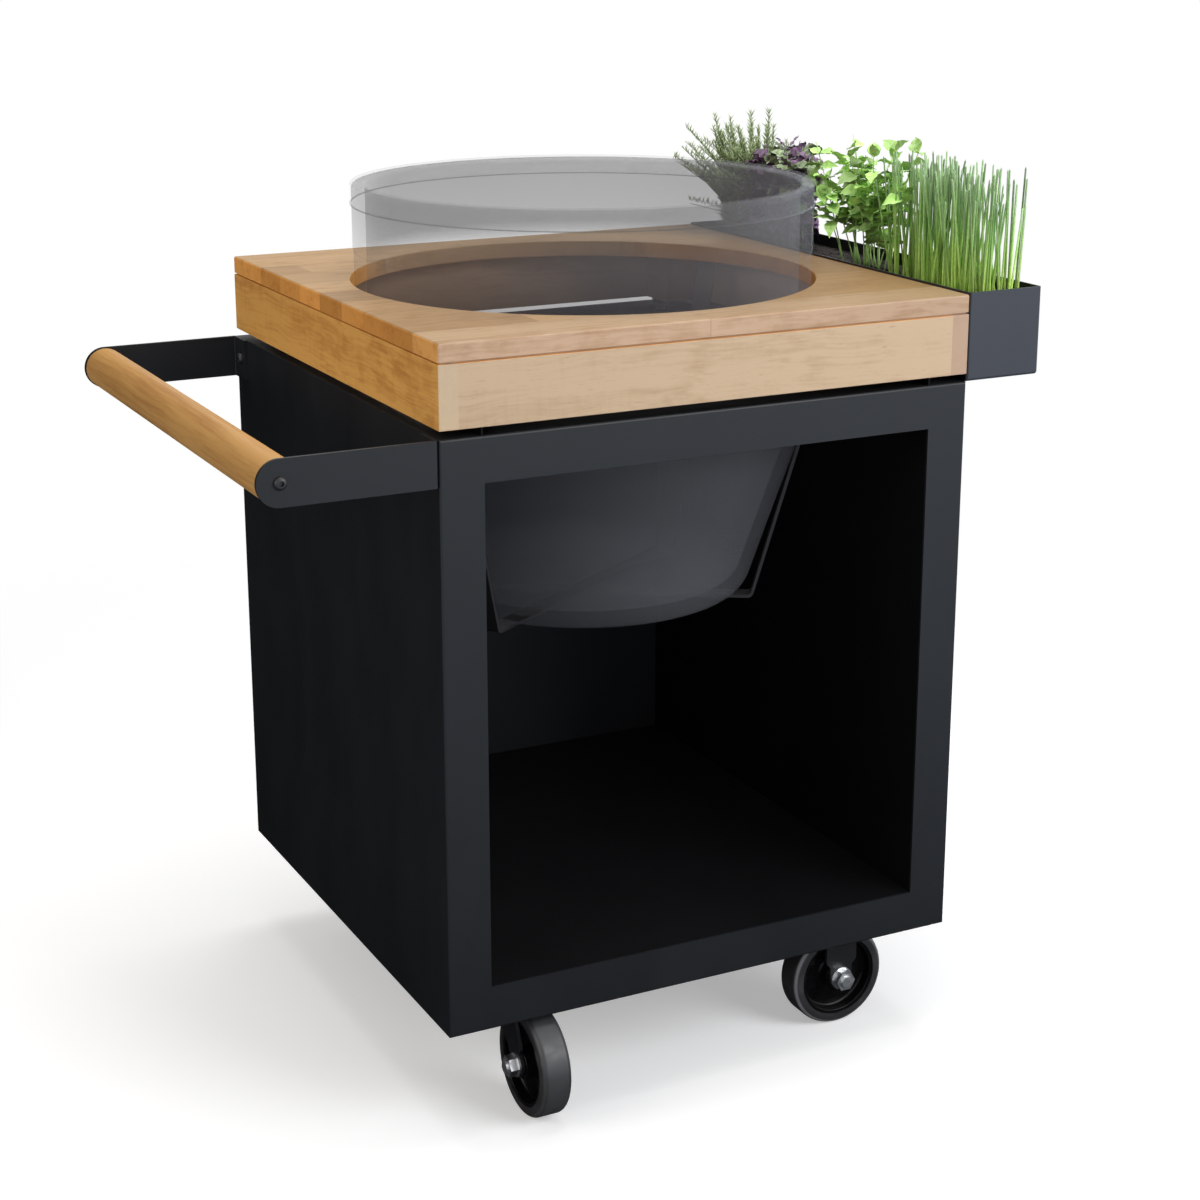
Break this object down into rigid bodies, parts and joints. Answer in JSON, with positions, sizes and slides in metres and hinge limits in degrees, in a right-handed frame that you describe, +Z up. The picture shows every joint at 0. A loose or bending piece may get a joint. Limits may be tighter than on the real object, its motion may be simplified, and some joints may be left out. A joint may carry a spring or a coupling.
{
  "type": "kamado grill table",
  "caption": "Rolling grill table: steel cabinet open at the front, wooden worktop with a round hole for a grill bowl, push handle and a side planter with herbs.",
  "frame": {"origin": "floor level, under the middle of the whole table's outline", "axes": "+Z up, front with the open compartment towards -Y, planter towards +X, push handle towards -X"},
  "size_m": [0.945, 0.6879, 1.066],
  "materials": {
    "cabinet_steel": "satin",
    "spacer_steel": "satin",
    "top_wood": "satin",
    "apron_wood": "satin",
    "block_wood": "matte",
    "bar_wood": "satin",
    "black_screw": "satin",
    "cradle_steel": "satin",
    "zinc_steel": "satin",
    "race_steel": "satin",
    "fork_steel": "satin",
    "tyre_rubber": "matte",
    "wheel_core": "satin",
    "soil": "matte",
    "chives": "satin",
    "basil": "satin",
    "purple_basil": "satin",
    "rosemary": "matte",
    "smoked_bowl": "satin",
    "smoked_band": "satin"
  },
  "bodies": {
    "table": {"front_frame": "cabinet_steel", "side_skin_left": "cabinet_steel", "side_skin_right": "cabinet_steel", "side_liner_left": "cabinet_steel", "side_liner_right": "cabinet_steel", "floor_panel": "cabinet_steel", "back_panel": "cabinet_steel", "base_channel_left": "cabinet_steel", "base_channel_right": "cabinet_steel", "top_channel_front": "cabinet_steel", "top_channel_rear": "cabinet_steel", "handle_plate_front": "cabinet_steel", "handle_plate_rear": "cabinet_steel", "planter_trough": "cabinet_steel", "worktop_spacers": "spacer_steel", "worktop_board": "top_wood", "apron_front": "apron_wood", "apron_back": "apron_wood", "apron_left": "apron_wood", "apron_right": "apron_wood", "corner_blocks": "block_wood", "handle_bar": "bar_wood", "handle_screws": "black_screw", "planter_screws": "black_screw", "cradle_screws": "black_screw", "cradle_rivet": "black_screw", "cradle_strap_upper": "cradle_steel", "cradle_strap_lower": "cradle_steel", "worktop_bolts": "zinc_steel", "caster_bolts": "zinc_steel", "caster_nuts": "zinc_steel", "fixed_axles": "zinc_steel", "swivel_pins": "zinc_steel", "swivel_races": "race_steel", "fixed_fork_front_right": "fork_steel", "fixed_fork_rear_right": "fork_steel", "swivel_plate_front_left": "fork_steel", "swivel_plate_rear_left": "fork_steel", "soil": "soil", "herb_chives": "chives", "herb_basil": "basil", "herb_purple_basil": "purple_basil", "herb_rosemary": "rosemary"},
    "kamado": {"kamado_bowl": "smoked_bowl", "kamado_band": "smoked_band"},
    "swivel_front_left": {"swivel_fork_front_left": "fork_steel", "swivel_axle_front_left": "zinc_steel"},
    "wheel_front_left": {"tyre_front_left": "tyre_rubber", "wheel_core_front_left": "wheel_core"},
    "swivel_rear_left": {"swivel_fork_rear_left": "fork_steel", "swivel_axle_rear_left": "zinc_steel"},
    "wheel_rear_left": {"tyre_rear_left": "tyre_rubber", "wheel_core_rear_left": "wheel_core"},
    "wheel_front_right": {"tyre_front_right": "tyre_rubber", "wheel_core_front_right": "wheel_core"},
    "wheel_rear_right": {"tyre_rear_right": "tyre_rubber", "wheel_core_rear_right": "wheel_core"}
  },
  "joints": [
    {"name": "bowl_lift", "type": "slide", "parent": "table", "child": "kamado", "axis": [0, 0, 1], "range_m": [0, 0.42]},
    {"name": "swivel_front_left", "type": "hinge", "parent": "table", "child": "swivel_front_left", "pos_m": [-0.1625, -0.24145, 0.145], "axis": [0, 0, 1], "continuous": true},
    {"name": "roll_front_left", "type": "hinge", "parent": "swivel_front_left", "child": "wheel_front_left", "pos_m": [-0.1625, -0.28145, 0.0625], "axis": [1, 0, 0], "continuous": true},
    {"name": "swivel_rear_left", "type": "hinge", "parent": "table", "child": "swivel_rear_left", "pos_m": [-0.1625, 0.27055, 0.145], "axis": [0, 0, 1], "continuous": true},
    {"name": "roll_rear_left", "type": "hinge", "parent": "swivel_rear_left", "child": "wheel_rear_left", "pos_m": [-0.1625, 0.23055, 0.0625], "axis": [1, 0, 0], "continuous": true},
    {"name": "roll_front_right", "type": "hinge", "parent": "table", "child": "wheel_front_right", "pos_m": [0.2575, -0.24145, 0.0625], "axis": [0, 1, 0], "continuous": true},
    {"name": "roll_rear_right", "type": "hinge", "parent": "table", "child": "wheel_rear_right", "pos_m": [0.2575, 0.27055, 0.0625], "axis": [0, 1, 0], "continuous": true}
  ]
}
